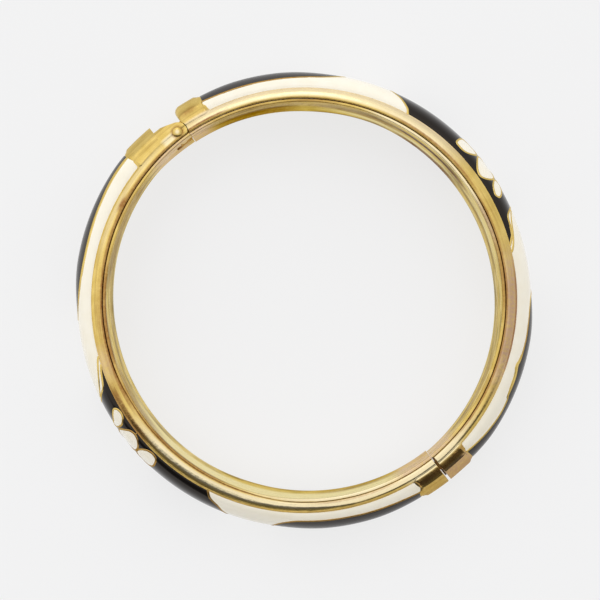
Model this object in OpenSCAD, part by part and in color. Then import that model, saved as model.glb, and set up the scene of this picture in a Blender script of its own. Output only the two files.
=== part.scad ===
/* [Overall size] */
// Inner radius of each half's arc, to the liner's inner face
inner_r = 29.75; // [26:0.25:34]
// How far each half's arc centre lies past the middle, which makes the ring oval
half_shift = 0.55; // [0.1:0.05:1.5]
// Radial thickness from the liner's inner face to the crest of the dome
body_t = 4.85; // [4.2:0.05:6]
// Width of the band in the middle of each half
width_mid = 12; // [9:0.1:16]
// Width of the band at the hinge and at the clasp
width_end = 7.3; // [6.6:0.1:8.6]

/* [Shell] */
// Wall of the domed shell
shell_wall = 1.0; // [0.8:0.05:1.2]
// Radial width of the rolled edge, in the middle of a half
rim_mid = 2.12; // [1.9:0.02:2.4]
// Radial width of the rolled edge, at the hinge and the clasp
rim_end = 1.82; // [1.7:0.02:2.2]
// How far the rolled edge stands above the start of the dome
rim_h = 0.5; // [0.3:0.05:0.7]
// Length of the plain metal block at each end of a half
block_len = 4.2; // [3.6:0.1:5]
// How far a block stands proud of the enamelled dome
block_proud = 0.3; // [0.1:0.05:0.5]
// Place of the crease on a block, as an angle round the dome from its crest
block_crease = 60; // [30:15:60]

/* [Liner] */
// Wall of the liner
liner_t = 0.45; // [0.35:0.05:0.6]
// Seam between the liner and the shell
liner_gap = 0.05; // [0.03:0.01:0.1]
// How far the liner's edge lies below the top of the rolled edge
liner_drop = 0.45; // [0.3:0.05:0.8]
// How far the socket half's liner runs past its block, in front of the hinge's ears
liner_past = 3.98; // [3.5:0.02:4.1]

/* [Enamel] */
// Thickness of the enamel in its cell
enamel_t = 0.35; // [0.25:0.05:0.4]
// How far the enamel lies below the metal around it
enamel_low = 0.03; // [0.01:0.01:0.06]
// Depth of a cell in the shell
cell_depth = 0.5; // [0.45:0.01:0.6]
// Width of the metal outline between two cells
outline_w = 0.3; // [0.24:0.02:0.5]
// Gap between the enamel and the wall of its cell
enamel_gap = 0.03; // [0.02:0.01:0.05]
// Reach of a black core round the dome, as an angle from its crest
core_reach = 50; // [40:1:56]
// Length of a core's rounded end
core_nose = 5.9; // [4:0.1:8]

/* [Hinge] */
// Radius of the hinge pin
pin_r = 0.6; // [0.45:0.05:0.7]
// Distance from the liner's inner face to the pin's axis
pin_inset = 1.51; // [1.4:0.01:1.6]
// How far the pin's axis lies to the side of the ring's middle line
pin_side = 0.77; // [0.5:0.01:1]
// Radius of the ears and of the knuckle round the pin
ear_r = 1.5; // [1.35:0.01:1.55]
// Reach of the ears outward from the pin's axis
ear_reach = 2.2; // [1.7:0.01:2.3]
// Height of the knuckle between the two ears
knuckle_h = 2.6; // [2:0.1:3]
// Gap between an ear and the knuckle
ear_gap = 0.06; // [0.04:0.01:0.1]
// Clearance round the pin in the knuckle
pin_clear = 0.05; // [0.03:0.01:0.08]
// Clearance between an ear's round end and the block that it nests in
nest_clear = 0.12; // [0.08:0.01:0.2]
// Distance from the pin's axis to the block with the knuckle
knuckle_block = 1.36; // [1.25:0.01:1.5]
// Distance from the pin's axis to the block with the ears
ear_block = 2.9; // [2.7:0.05:3.3]
// Radius of the pin's riveted heads
head_r = 0.8; // [0.7:0.05:0.9]
// Height of the pin's riveted heads
head_h = 0.2; // [0.1:0.05:0.3]

/* [Clasp] */
// Slit between the two blocks at the clasp
slit = 0.4; // [0.3:0.05:0.6]
// How far the slit's middle lies to the side of the ring's middle line
slit_side = 0.42; // [0:0.02:0.6]
// Length of the tongue past its own block's face
tongue_len = 4.6; // [4:0.1:5]
// Thickness of the tongue
tongue_t = 1.0; // [0.8:0.05:1.2]
// Height of the tongue
tongue_h = 3.6; // [3:0.1:4]
// Distance from the liner's inner face to the tongue
tongue_inset = 1.75; // [1.6:0.05:1.9]
// Depth of the tongue's seat in its own block
tongue_seat = 2.4; // [2:0.1:3]
// Clearance above and below the tongue in the socket
socket_clear = 0.2; // [0.15:0.05:0.4]
// Clearance on each side of the tongue, which also takes the arc of its swing
swing_clear = 0.35; // [0.3:0.05:0.4]
// Clearance past the tongue's nose
nose_clear = 0.4; // [0.3:0.05:0.5]
// Thickness of the tongue's shoulder plate, which fills the slit
shoulder_t = 0.26; // [0.2:0.01:0.3]
// Height of the shoulder plate
shoulder_h = 4.8; // [4.2:0.1:5.2]
// Distance from the liner's inner face to the shoulder plate
shoulder_inset = 0.65; // [0.55:0.05:0.8]
// Distance from the liner's inner face to the plate's outer edge
shoulder_reach = 3.9; // [3.4:0.05:4]

/* [Hidden] */
mid_z = width_mid / 2;
crest_r = inner_r + body_t;
shell_in = inner_r + liner_t + liner_gap;
taper_ref = inner_r + 1;
taper_sink = (width_mid - width_end) / 2;
taper_r = (taper_ref * taper_ref + taper_sink * taper_sink) / (2 * taper_sink);
pin_x = inner_r + pin_inset;
fit_gap = 0.02;
overlap = 0.3;

// Degrees round the ring that one millimetre takes
ring_deg = 180 / (PI * crest_r);
// The enamel's edge beside the rolled edge, as an angle round the dome
lip_t = 88;
// Step between a block and the enamelled dome, as an angle round the ring
step_deg = 0.12;

// The faces of each half: their distance from the half's own arc centre, at its start and end.
// A half starts at the side where its pattern starts.
FACE_START = 0;
FACE_END = 1;
tongue_faces = [pin_side + knuckle_block + half_shift, slit_side + slit / 2 + half_shift];
socket_faces = [half_shift - slit_side + slit / 2, ear_block - pin_side + half_shift];

// Pattern of a half. Places along the ring are shares of its enamelled length, from its start.
// Columns: end of the first core, left edge of the black panel at the lip, how much further that
// edge reaches at the crest, centre of the flower, right edge of the panel at the lip, how much
// that edge falls back at the crest, start of the second core.
CORE_1 = 0;
PANEL_LEFT = 1;
LEFT_REACH = 2;
FLOWER = 3;
PANEL_RIGHT = 4;
RIGHT_REACH = 5;
CORE_2 = 6;
tongue_pattern = [0.233, 0.353, 0.038, 0.508, 0.650, 0.076, 0.719];
socket_pattern = [0.243, 0.363, 0.044, 0.515, 0.655, 0.085, 0.724];

// Petals on the upper side of the dome. The lower side mirrors them.
// Columns: millimetres along the ring from the flower's centre, angle round the dome of the
// petal's centre, half width in millimetres, half height as an angle round the dome.
PETAL_X = 0;
PETAL_T = 1;
PETAL_W = 2;
PETAL_H = 3;
petals = [[-4.3, 43, 1.5, 26], [0, 0, 2.25, 79], [3.75, 45, 1.3, 28]];
middle_petal = 1;
// The two middle petals stop this many degrees short of the crest
crest_stop = 3;

PETAL_NAMES = ["petal_1", "petal_2", "petal_3", "petal_4", "petal_5", "petal_6"];
CELL_NAMES = concat(["core_start", "core_end", "white_start", "white_end", "panel"], PETAL_NAMES);
CORE_START = 0;
CORE_END = 1;
WHITE_START = 2;
WHITE_END = 3;
PANEL = 4;
HALVES = ["tongue", "socket"];
$fn = 96;

// Half of the band's width at an angle round the ring
function half_width(phi) =
    width_mid / 2 - taper_r + sqrt(taper_r * taper_r - pow(taper_ref * cos(phi), 2));

// Radius where the rolled edge meets the dome
function lip_radius(phi) = inner_r + rim_end + (rim_mid - rim_end) * sin(phi);

// A point of the dome as [radius, height above the mid plane], moved out by off
function dome(phi, t, off) = [
    lip_radius(phi) + (crest_r - lip_radius(phi) + off) * cos(t),
    (half_width(phi) - rim_h + off) * sin(t)
];

// How much of the dome's roundness the sides of a block keep
belly_share = 0.3;

// A point of a block: two nearly flat sides that meet in a crease, with a slight belly
function block_point(phi, t) =
    let (
        side = abs(t) < block_crease ? [0, block_crease] : [block_crease, 90],
        part = (abs(t) - side[0]) / (side[1] - side[0]),
        low = dome(phi, sign(t) * side[0], block_proud * cos(side[0])),
        high = dome(phi, sign(t) * side[1], block_proud * cos(side[1])),
        round_one = dome(phi, t, block_proud * cos(t))
    )
    belly_share * round_one + (1 - belly_share) * (low + (high - low) * part);

// Degrees round the dome that one millimetre takes
function dome_deg(phi) =
    let (rise = half_width(phi) - rim_h, belly = crest_r - lip_radius(phi))
    90 / (PI / 2 * sqrt((rise * rise + belly * belly) / 2));

function mirrored(points) = [for (i = [len(points) - 1:-1:0]) [points[i][0], -points[i][1]]];

// Section of the rolled edge, from the seam out to the dome.
// Columns: share of its width, how far below its top as a share of its height.
RIM_ACROSS = 0;
RIM_DOWN = 1;
rim_shape = [[0, 1.1], [0.12, 0.4], [0.45, 0], [0.8, 0.3], [1, 1]];

// The rolled edge as [radius, height]
function rim(phi) =
    let (top = half_width(phi), out = lip_radius(phi) - shell_in)
    [for (p = rim_shape) [shell_in + p[RIM_ACROSS] * out, top - p[RIM_DOWN] * rim_h]];

// Where the hollow is filled, at a block, its points lie on the inner face, this much closer
flat_share = 0.9;

// The hollow inside the shell, from its upper corner down to its lower one
function hollow(phi, solid) =
    let (
        high = half_width(phi) - rim_h - shell_wall,
        belly = crest_r - lip_radius(phi) - shell_wall,
        arc = [for (t = [90:-30:-90]) [lip_radius(phi) + belly * cos(t), high * sin(t)]]
    )
    concat(
        [[shell_in, high]],
        [for (p = arc) solid ? [shell_in, p[1] * flat_share] : p],
        [[shell_in, -high]]
    );

function section(phi, solid) =
    let (
        upper = concat(
            rim(phi),
            [for (t = [75:-15:0]) solid ? block_point(phi, t) : dome(phi, t, 0)]
        ),
        lower = mirrored([for (i = [0:len(upper) - 2]) upper[i]]),
        inside = hollow(phi, solid)
    )
    concat(upper, lower, [for (i = [len(inside) - 1:-1:0]) inside[i]]);

function at_angle(phi, p) = [p[0] * cos(phi), p[0] * sin(phi), mid_z + p[1]];
function block_angle(y) = asin((y + block_len) / crest_r);
function start_angle(faces) = 180 - block_angle(faces[FACE_START]);
function end_angle(faces) = block_angle(faces[FACE_END]);
function place(faces, share) = start_angle(faces) + share * (end_angle(faces) - start_angle(faces));

// How far a loft runs past the faces of its blocks, which are then cut flat
run_past = 0.5;
// Number of steps between the two blocks of a half
shell_steps = 26;
// Place of the crest among the points of a section
crest_point = len(rim_shape) + 5;

// A half of the shell, without its cells, as one loft of sections round the ring
module shell_loft(faces) {
    first = start_angle(faces);
    last = end_angle(faces);
    far_start = 180 - asin((faces[FACE_START] - run_past) / crest_r);
    far_end = asin((faces[FACE_END] - run_past) / crest_r);
    stations = concat(
        [[far_start, true], [(far_start + first) / 2, true], [first + step_deg, true]],
        [for (i = [0:shell_steps]) [first + i / shell_steps * (last - first), false]],
        [[last - step_deg, true], [(far_end + last) / 2, true], [far_end, true]]
    );
    rings = [for (s = stations) [for (p = section(s[0], s[1])) at_angle(s[0], p)]];
    sides = len(rings[0]);
    sides_faces = [
        for (i = [0:len(rings) - 2]) for (j = [0:sides - 1])
            let (a = i * sides + j, b = i * sides + (j + 1) % sides)
            each [[a, b, b + sides], [a, b + sides, a + sides]]
    ];
    from = (len(rings) - 1) * sides;
    cap_start = [for (j = [0:sides - 1]) (crest_point + sides - j) % sides];
    cap_end = [for (j = [0:sides - 1]) from + (crest_point + j) % sides];
    polyhedron(
        points = [for (ring = rings) each ring],
        faces = concat([cap_start], sides_faces, [cap_end]),
        convexity = 8
    );
}

// What lies past the flat faces of a half's blocks
module past_faces(faces) {
    big = 2 * crest_r;
    translate([-big, faces[FACE_START] - big, -1]) cube([big, big, width_mid + 2]);
    translate([0, faces[FACE_END] - big, -1]) cube([big, big, width_mid + 2]);
}

// A patch that follows the dome, from a grid of [angle round the ring, angle round the dome].
// Columns run from the start of the half to its end, and rows from low to high. The cells of
// slot_row are left out: between the columns of open they are an opening, elsewhere its two edges
// meet.
module patch(grid, top, bottom, loop = false, slot_row = undef, open = [0, 0]) {
    n = len(grid);
    m = len(grid[0]);
    columns = loop ? n : n - 1;
    function id(i, j, layer) = layer * n * m + (i % n) * m + j;
    function filled(i, j) =
        j >= 0 && j < m - 1 && j != slot_row && (loop || (i >= 0 && i < columns));
    function seam(i, j) = j == slot_row && (i < open[0] || i >= open[1]);
    function quad(a, b, c, d) = [[a, b, c], [a, c, d]];
    skins = [
        for (i = [0:columns - 1]) for (j = [0:m - 2]) if (filled(i, j))
            each concat(
                quad(id(i, j, 0), id(i + 1, j, 0), id(i + 1, j + 1, 0), id(i, j + 1, 0)),
                quad(id(i, j, 1), id(i, j + 1, 1), id(i + 1, j + 1, 1), id(i + 1, j, 1))
            )
    ];
    walls = [
        for (i = [0:columns - 1]) for (j = [0:m - 2]) if (filled(i, j))
            each concat(
                filled(i, j - 1) || seam(i, j - 1) ? []
                    : quad(id(i + 1, j, 0), id(i, j, 0), id(i, j, 1), id(i + 1, j, 1)),
                filled(i, j + 1) || seam(i, j + 1) ? []
                    : quad(id(i, j + 1, 0), id(i + 1, j + 1, 0), id(i + 1, j + 1, 1), id(i, j + 1, 1)),
                filled(i - 1, j) ? []
                    : quad(id(i, j, 0), id(i, j + 1, 0), id(i, j + 1, 1), id(i, j, 1)),
                filled(i + 1, j) ? []
                    : quad(id(i + 1, j + 1, 0), id(i + 1, j, 0), id(i + 1, j, 1), id(i + 1, j + 1, 1))
            )
    ];
    polyhedron(
        points = [
            for (off = [top, bottom]) for (column = grid) for (p = column)
                at_angle(p[0], dome(p[0], p[1], off))
        ],
        faces = concat(skins, walls),
        convexity = 8
    );
}

// A row of rows + 1 places from low to high
function spread(low, high, rows) = [for (j = [0:rows]) low + (high - low) * j / rows];

// Gap between a wall's middle line and the edge of a cell that is grown by g
function trim(g) = outline_w / 2 + enamel_gap - g;

// Edge of the enamel beside the rolled edge, as an angle round the dome
function lip_edge(phi, g) = lip_t - (enamel_gap - g) * dome_deg(phi);

// Half height of a core that is grown by g, x millimetres in from its tip
function core_half(x, phi, g) =
    (core_reach + g * dome_deg(phi))
        * sqrt(1 - pow(1 - min((x + g) / (core_nose + g), 1), 2));

// Millimetres from a core's tip to each of its columns
function core_columns(length) =
    concat([for (share = [0.02, 0.12, 0.4]) share * core_nose], spread(core_nose, length, 4));

// A core, from its tip to the block of its half
module core(phi_block, phi_tip, g, top, bottom) {
    dir = sign(phi_block - phi_tip);
    length = abs(phi_block - phi_tip) / ring_deg - trim(enamel_gap) - enamel_gap;
    distances = core_columns(length);
    last = len(distances) - 1;
    grid = [
        for (k = [0:last])
            let (
                x = distances[k] + (k == 0 ? -g : (k == last ? g : 0)),
                phi = phi_tip + dir * ring_deg * x,
                c = core_half(distances[k], phi, g)
            )
            [for (t = spread(-c, c, 4)) [phi, t]]
    ];
    patch(dir > 0 ? [for (k = [last:-1:0]) grid[k]] : grid, top, bottom);
}

// Rows of a cell between the crest and the rolled edge
edge_rows = 4;
// Columns of a white cell between its core and the panel
far_columns = 4;

// Edges of the black panel, as an angle round the ring. They run straight from row to row.
function left_edge(faces, pattern, t) = lookup(abs(t), [
    for (s = spread(0, lip_t, edge_rows))
        [s, place(faces, pattern[PANEL_LEFT] - pattern[LEFT_REACH] * pow(cos(s), 1.4))]
]);
function right_edge(faces, pattern, t) = lookup(abs(t), [
    for (s = spread(0, lip_t, edge_rows))
        [s, place(faces, pattern[PANEL_RIGHT] - pattern[RIGHT_REACH] * cos(s))]
]);

// Gap to the edge of a cell as an angle round the ring, where the wall leans away from upright by
// a rise of this many degrees round the ring in each degree round the dome
function leaning_trim(rise, g) =
    trim(g) * ring_deg * sqrt(1 + pow(rise * dome_deg(90) / ring_deg, 2));
function left_trim(faces, pattern, g) =
    leaning_trim((left_edge(faces, pattern, lip_t) - left_edge(faces, pattern, 0)) / lip_t, g);
function right_trim(faces, pattern, t, g) =
    leaning_trim(pattern[RIGHT_REACH] * (end_angle(faces) - start_angle(faces))
        * sin(t) * PI / 180, g);

// White enamel from a block to the panel. Its columns beside the core have an opening for it.
module white(faces, pattern, at_start, g, top, bottom) {
    phi_block = at_start ? start_angle(faces) : end_angle(faces);
    phi_tip = place(faces, at_start ? pattern[CORE_1] : pattern[CORE_2]);
    dir = sign(phi_block - phi_tip);
    length = abs(phi_block - phi_tip) / ring_deg - trim(enamel_gap) - enamel_gap;
    distances = core_columns(length);
    last = len(distances) - 1;
    wall = outline_w + 2 * enamel_gap - g;
    tip = phi_tip - dir * ring_deg * wall;
    rows = edge_rows;
    function column(phi, c) =
        let (reach = lip_edge(phi, g))
        [for (t = concat(spread(-reach, -c, rows), spread(c, reach, rows))) [phi, t]];
    function edge(t) = at_start
        ? left_edge(faces, pattern, t) + left_trim(faces, pattern, g)
        : right_edge(faces, pattern, t) - right_trim(faces, pattern, t, g);
    beside = [
        for (k = [last:-1:0])
            let (phi = phi_tip + dir * ring_deg * (distances[k] + (k == last ? g : 0)))
            column(phi, core_half(distances[k], phi, wall))
    ];
    beyond = [
        for (k = [0:far_columns])
            [for (p = column(tip, 0)) [tip + (edge(p[1]) - tip) * k / far_columns, p[1]]]
    ];
    grid = concat(beside, beyond);
    n = len(grid);
    shut = len(beside);
    if (at_start) patch(grid, top, bottom, false, rows, [0, shut]);
    else patch([for (k = [n - 1:-1:0]) grid[k]], top, bottom, false, rows, [n - 1 - shut, n - 1]);
}

// Directions from the flower's centre count in a plane whose unit along the ring is panel_unit
// millimetres, and round the dome a quarter turn.
panel_unit = 14;

// How far a petal reaches in a direction, when it is grown by g. side is 1 above the crest.
function petal_reach(dir, petal, side, g) =
    let (
        x = petal[PETAL_X] / panel_unit,
        y = side * petal[PETAL_T] / 90,
        w = (petal[PETAL_W] + g) / panel_unit,
        h = (petal[PETAL_H] + g * dome_deg(90)) / 90,
        a = pow(cos(dir) / w, 2) + pow(sin(dir) / h, 2),
        b = cos(dir) * x / (w * w) + sin(dir) * y / (h * h),
        root = b * b - a * (pow(x / w, 2) + pow(y / h, 2) - 1)
    )
    root < 0 ? 0 : (b + sqrt(root)) / a;
function flower_reach(dir, g) =
    max([for (petal = petals) for (side = [1, -1]) petal_reach(dir, petal, side, g)]);

// Is a place inside the panel, and how far does the panel reach in a direction?
function in_panel(faces, pattern, dir, r, g) =
    let (t = r * sin(dir) * 90, phi = panel_angle(faces, pattern, dir, r))
    abs(t) < lip_edge(phi, g)
        && phi < left_edge(faces, pattern, t) - left_trim(faces, pattern, g)
        && phi > right_edge(faces, pattern, t) + right_trim(faces, pattern, t, g);
function panel_angle(faces, pattern, dir, r) =
    place(faces, pattern[FLOWER]) - r * cos(dir) * panel_unit * ring_deg;
function panel_reach(faces, pattern, dir, g, low = 0, high = 3, tries = 16) =
    let (middle = (low + high) / 2)
    tries == 0 ? middle
        : in_panel(faces, pattern, dir, middle, g)
            ? panel_reach(faces, pattern, dir, g, middle, high, tries - 1)
            : panel_reach(faces, pattern, dir, g, low, middle, tries - 1);
function direction(faces, pattern, edge, t) =
    atan2(t / 90, (place(faces, pattern[FLOWER]) - edge) / (ring_deg * panel_unit));

// Width of the metal outline round the flower
flower_line = 1.3 * outline_w;

// The black panel, as rings between the flower's outline and the panel's own
module panel(faces, pattern, g, top, bottom) {
    steps = 2 * edge_rows;
    right = [for (t = spread(0, lip_t, steps))
        direction(faces, pattern, right_edge(faces, pattern, t), t)];
    left = [for (t = spread(lip_t, 0, steps))
        direction(faces, pattern, left_edge(faces, pattern, t), t)];
    lip = spread(right[steps], left[0], 2 * steps);
    upper = concat(
        [for (k = [0:steps - 1]) right[k]],
        [for (k = [0:len(lip) - 2]) lip[k]],
        [for (k = [0:steps - 1]) left[k]]
    );
    dirs = concat(
        [for (dir = upper) -dir],
        [-180],
        [for (k = [len(upper) - 1:-1:1]) upper[k] - 360]
    );
    grid = [
        for (dir = dirs)
            let (
                near = flower_reach(dir, flower_line + 2 * enamel_gap - g),
                far = panel_reach(faces, pattern, dir, g)
            )
            [for (r = spread(near, far, 2)) [panel_angle(faces, pattern, dir, r), r * sin(dir) * 90]]
    ];
    patch(grid, top, bottom, true);
}

// Direction of a petal's first column from its centre, and the number of its columns
petal_turn = 16;
petal_columns = 8;

// One petal, as columns across it. Petals 1 to 3 lie above the crest, 4 to 6 below it.
module petal(faces, pattern, number, g, top, bottom) {
    above = len(petals);
    upper = number < above;
    shape = petals[number % above];
    middle = number % above == middle_petal;
    centre = place(faces, pattern[FLOWER]) - shape[PETAL_X] * ring_deg;
    w = (shape[PETAL_W] + g) * ring_deg;
    h = shape[PETAL_H] + g * dome_deg(90);
    base = crest_stop - g * dome_deg(90);
    grid = [
        for (turn = spread(petal_turn, 180 - petal_turn, petal_columns))
            let (
                phi = centre + w * cos(turn),
                far = shape[PETAL_T] + h * sin(turn),
                near = middle ? base : shape[PETAL_T] - h * sin(turn)
            )
            [for (t = upper ? spread(near, far, 2) : spread(-far, -near, 2)) [phi, t]]
    ];
    patch(grid, top, bottom);
}

// Any cell of a half, by its place in CELL_NAMES
module cell(faces, pattern, number, g, top, bottom) {
    if (number == CORE_START)
        core(start_angle(faces), place(faces, pattern[CORE_1]), g, top, bottom);
    if (number == CORE_END)
        core(end_angle(faces), place(faces, pattern[CORE_2]), g, top, bottom);
    if (number == WHITE_START) white(faces, pattern, true, g, top, bottom);
    if (number == WHITE_END) white(faces, pattern, false, g, top, bottom);
    if (number == PANEL) panel(faces, pattern, g, top, bottom);
    if (number > PANEL) petal(faces, pattern, number - PANEL - 1, g, top, bottom);
}

module in_half(half) {
    if (half == "tongue") translate([0, -half_shift, 0]) children();
    else rotate([0, 0, 180]) translate([0, -half_shift, 0]) children();
}
function faces_of(half) = half == "tongue" ? tongue_faces : socket_faces;
function pattern_of(half) = half == "tongue" ? tongue_pattern : socket_pattern;

// The shell of a half with a pocket for each cell
module shell_with_cells(half) {
    in_half(half) difference() {
        shell_loft(faces_of(half));
        past_faces(faces_of(half));
        for (number = [0:len(CELL_NAMES) - 1])
            cell(faces_of(half), pattern_of(half), number, enamel_gap, block_proud + 0.1, -cell_depth);
    }
}

// Sides of the two big cylinders that give the band its taper
taper_sides = 900;

// The space between the two big cylinders
module taper(drop) {
    sink = width_mid / 2 - taper_r;
    translate([0, 0, mid_z]) intersection() {
        translate([0, 0, sink]) rotate([90, 0, 0])
            cylinder(r = taper_r - drop, h = 3 * crest_r, center = true, $fn = taper_sides);
        translate([0, 0, -sink]) rotate([90, 0, 0])
            cylinder(r = taper_r - drop, h = 3 * crest_r, center = true, $fn = taper_sides);
    }
}

// The band between the halves' faces. past lengthens it at its end.
module liner(half, past) {
    faces = faces_of(half);
    in_half(half) intersection() {
        difference() {
            cylinder(r = inner_r + liner_t, h = width_mid);
            translate([0, 0, -1]) cylinder(r = inner_r, h = width_mid + 2);
        }
        taper(liner_drop);
        union() {
            translate([-crest_r, faces[FACE_START] + liner_gap, 0])
                cube([crest_r, crest_r, width_mid]);
            translate([0, faces[FACE_END] + liner_gap - past, 0])
                cube([crest_r, crest_r + past, width_mid]);
        }
    }
}

module tongue_liner() {
    color("gold") liner("tongue", 0);
}

// This liner has a slot at its end, where the knuckle comes through
module socket_liner() {
    slot_h = knuckle_h / 2 + ear_gap;
    color("gold") difference() {
        liner("socket", liner_past);
        translate([-crest_r, pin_side - ear_r - nest_clear, mid_z - slot_h])
            cube([crest_r / 2, crest_r, 2 * slot_h]);
    }
}

// Top and bottom of the hinge, a little inside the rolled edge of the blocks
ear_top = half_width(0) - 0.2 * rim_h;
ear_low = knuckle_h / 2 + ear_gap;

// Half width of the web that joins the ears behind the knuckle, and of the knuckle's root
web_w = 1.35;
// The corner where an ear's round end meets its outer side, and how far along that side runs
// straight, as shares of the ear's radius
ear_corner = [0.93, 0.41];
ear_straight = 1.1;

// The ears and their web, which leave room for the liner in front of them
module hinge_ears() {
    difference() {
        ears_and_web();
        in_half("socket") translate([0, 0, -1]) cylinder(r = shell_in, h = width_mid + 2);
    }
}

module ears_and_web() {
    for (side = [1, -1]) translate([0, 0, mid_z]) mirror([0, 0, side > 0 ? 0 : 1])
        translate([0, 0, ear_low]) {
            translate([-pin_x, pin_side, 0]) cylinder(r = ear_r, h = ear_top - ear_low);
            linear_extrude(height = ear_top - ear_low) polygon([
                [-pin_x + ear_r, pin_side],
                [-pin_x - ear_corner[0] * ear_r, pin_side + ear_corner[1] * ear_r],
                [-pin_x - ear_reach, pin_side - ear_straight * ear_r],
                [-pin_x - ear_reach, pin_side - ear_block - overlap],
                [-pin_x + ear_r, pin_side - ear_block - overlap]
            ]);
        }
    web_y = pin_side - ear_block - overlap;
    translate([-pin_x - web_w, web_y, mid_z - ear_low - overlap])
        cube([2 * web_w, pin_side - ear_r - nest_clear - web_y, 2 * (ear_low + overlap)]);
}

module knuckle() {
    translate([0, 0, mid_z - knuckle_h / 2]) {
        translate([-pin_x, pin_side, 0]) cylinder(r = ear_r, h = knuckle_h);
        translate([-pin_x - web_w, pin_side, 0])
            cube([web_w + pin_x - shell_in - 0.1, knuckle_block + overlap, knuckle_h]);
    }
}

module pin_bore(clear) {
    translate([-pin_x, pin_side, -1]) cylinder(r = pin_r + clear, h = width_mid + 2);
}

// Room for the ears' round ends in the block with the knuckle
module ear_nest() {
    for (low = [mid_z + knuckle_h / 2, -1])
        translate([-pin_x, pin_side, low])
            cylinder(r = ear_r + nest_clear, h = mid_z - knuckle_h / 2 + 1);
}

tongue_x = inner_r + tongue_inset;
tongue_y = slit_side + slit / 2;

module tongue_seat_cut() {
    translate([tongue_x - enamel_gap, tongue_y - 1, mid_z - tongue_h / 2 - enamel_gap])
        cube([tongue_t + 2 * enamel_gap, 1 + tongue_seat + enamel_gap, tongue_h + 2 * enamel_gap]);
}

module socket_cut() {
    low = tongue_y - tongue_len - nose_clear;
    translate([tongue_x - swing_clear, low, mid_z - tongue_h / 2 - socket_clear])
        cube([tongue_t + 2 * swing_clear, tongue_y - low, tongue_h + 2 * socket_clear]);
}

module tongue_shell() {
    color("goldenrod") difference() {
        union() {
            difference() {
                shell_with_cells("tongue");
                ear_nest();
            }
            knuckle();
        }
        pin_bore(pin_clear);
        tongue_seat_cut();
    }
}

module socket_shell() {
    color("goldenrod") difference() {
        union() {
            shell_with_cells("socket");
            hinge_ears();
        }
        pin_bore(fit_gap);
        socket_cut();
    }
}

// A head's upright edge as a share of its height, and its flat top as a share of its radius
head_edge = 0.4;
head_flat = 0.6;

module hinge_pin() {
    color("darkgoldenrod") translate([-pin_x, pin_side, 0]) {
        translate([0, 0, mid_z - ear_top - fit_gap]) cylinder(r = pin_r, h = 2 * (ear_top + fit_gap));
        for (side = [0, 1]) translate([0, 0, mid_z]) mirror([0, 0, side])
            translate([0, 0, ear_top + fit_gap]) rotate_extrude() polygon([
                [0, 0],
                [head_r, 0],
                [head_r, head_edge * head_h],
                [head_flat * head_r, head_h],
                [0, head_h]
            ]);
    }
}

// Where the taper of the tongue's nose starts and ends, as a share of its thickness
nose_side = 0.3;
// The outer edge of the shoulder plate is this share of its height
shoulder_narrow = 0.7;

// A folded spring leaf with a tapering nose
module tongue_leaf() {
    nose = tongue_y - tongue_len;
    translate([0, 0, mid_z - tongue_h / 2]) linear_extrude(height = tongue_h) polygon([
        [tongue_x, tongue_y + tongue_seat],
        [tongue_x, nose + tongue_t],
        [tongue_x + nose_side * tongue_t, nose],
        [tongue_x + (1 - nose_side) * tongue_t, nose],
        [tongue_x + tongue_t, nose + tongue_t],
        [tongue_x + tongue_t, tongue_y + tongue_seat]
    ]);
}

// The plate across the slit, which carries the leaf
module shoulder() {
    high = shoulder_h / 2;
    translate([0, tongue_y - enamel_gap, mid_z]) rotate([90, 0, 0])
        linear_extrude(height = shoulder_t) polygon([
            [inner_r + shoulder_inset, -high],
            [tongue_x + tongue_t, -high],
            [inner_r + shoulder_reach, -high * shoulder_narrow],
            [inner_r + shoulder_reach, high * shoulder_narrow],
            [tongue_x + tongue_t, high],
            [inner_r + shoulder_inset, high]
        ]);
}

module clasp_tongue() {
    color("tan") {
        tongue_leaf();
        shoulder();
    }
}

// Enamel of one cell
module enamel(half, number) {
    dark = number == CORE_START || number == CORE_END || number == PANEL;
    color(dark ? "black" : "ivory") in_half(half)
        cell(faces_of(half), pattern_of(half), number, 0, -enamel_low, -enamel_low - enamel_t);
}

tongue_shell();
socket_shell();
tongue_liner();
socket_liner();
hinge_pin();
clasp_tongue();
for (half = HALVES) for (number = [0:len(CELL_NAMES) - 1])
    enamel(half, number);
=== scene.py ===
"""Looks of the hinged bangle: smooth metal, enamel cells, outlines, light and camera."""

import math

import bpy
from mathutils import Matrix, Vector, geometry

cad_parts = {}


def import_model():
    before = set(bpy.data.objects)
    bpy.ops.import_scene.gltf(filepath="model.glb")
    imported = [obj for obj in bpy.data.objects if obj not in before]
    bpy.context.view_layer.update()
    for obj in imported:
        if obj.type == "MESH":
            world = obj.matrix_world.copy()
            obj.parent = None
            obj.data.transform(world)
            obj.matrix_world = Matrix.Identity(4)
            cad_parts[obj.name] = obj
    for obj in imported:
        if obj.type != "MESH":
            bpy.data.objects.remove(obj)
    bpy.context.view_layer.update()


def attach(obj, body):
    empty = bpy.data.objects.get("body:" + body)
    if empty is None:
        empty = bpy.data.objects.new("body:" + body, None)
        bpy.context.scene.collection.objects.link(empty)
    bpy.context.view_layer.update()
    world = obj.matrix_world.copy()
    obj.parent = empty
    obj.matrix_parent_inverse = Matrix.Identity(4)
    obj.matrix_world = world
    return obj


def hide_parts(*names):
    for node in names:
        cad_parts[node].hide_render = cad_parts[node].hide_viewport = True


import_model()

# Sizes in mm, as in the CAD part
INNER_R = 29.75
HALF_SHIFT = 0.55
CREST_R = 34.6
WIDTH_MID = 12.0
WIDTH_END = 7.3
RIM_MID = 2.12
RIM_END = 1.82
RIM_H = 0.5
LINER_T = 0.45
LINER_GAP = 0.05
LINER_DROP = 0.45
BLOCK_PROUD = 0.3
PIN_R = 0.6
HEAD_R = 0.8
EAR_R = 1.5
EAR_REACH = 2.2
EAR_BLOCK = 2.9
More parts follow.
